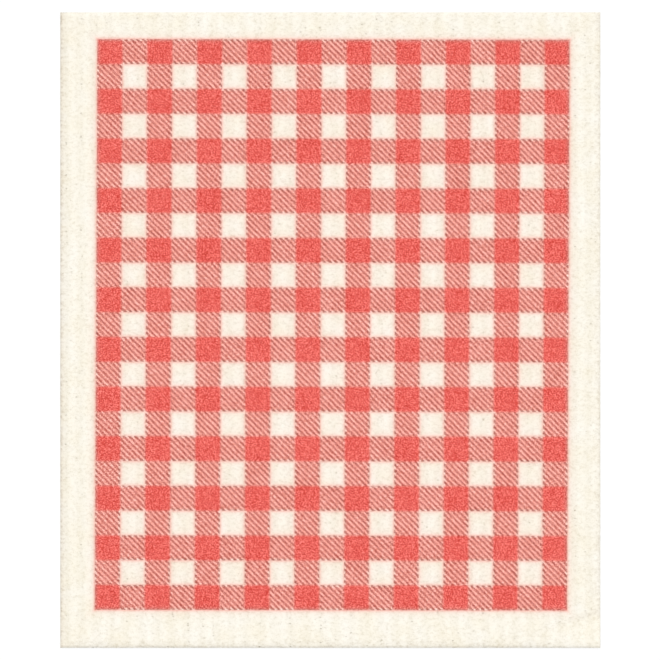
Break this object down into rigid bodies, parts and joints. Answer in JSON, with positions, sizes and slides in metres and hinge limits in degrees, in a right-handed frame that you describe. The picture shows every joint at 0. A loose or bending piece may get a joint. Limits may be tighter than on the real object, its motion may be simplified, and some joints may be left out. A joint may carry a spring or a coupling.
{
  "type": "sponge dishcloth",
  "caption": "Flat rectangular sponge dishcloth with soft ribs on both faces and a checked print on top, for wiping and drying dishes and worktops.",
  "frame": {"origin": "on the surface the cloth lies on, below the middle of the sheet", "axes": "+X to the right across the short side, +Y up the long side as in the picture, +Z out of the printed face"},
  "size_m": [0.17, 0.2, 0.0021],
  "materials": {
    "cellulose_sponge": "matt cream cellulose and cotton sponge sheet, ribbed by the mould, with a red water-based gingham print on the top face"
  },
  "bodies": {
    "root": {"sponge_sheet": "cellulose_sponge"}
  },
  "joints": []
}
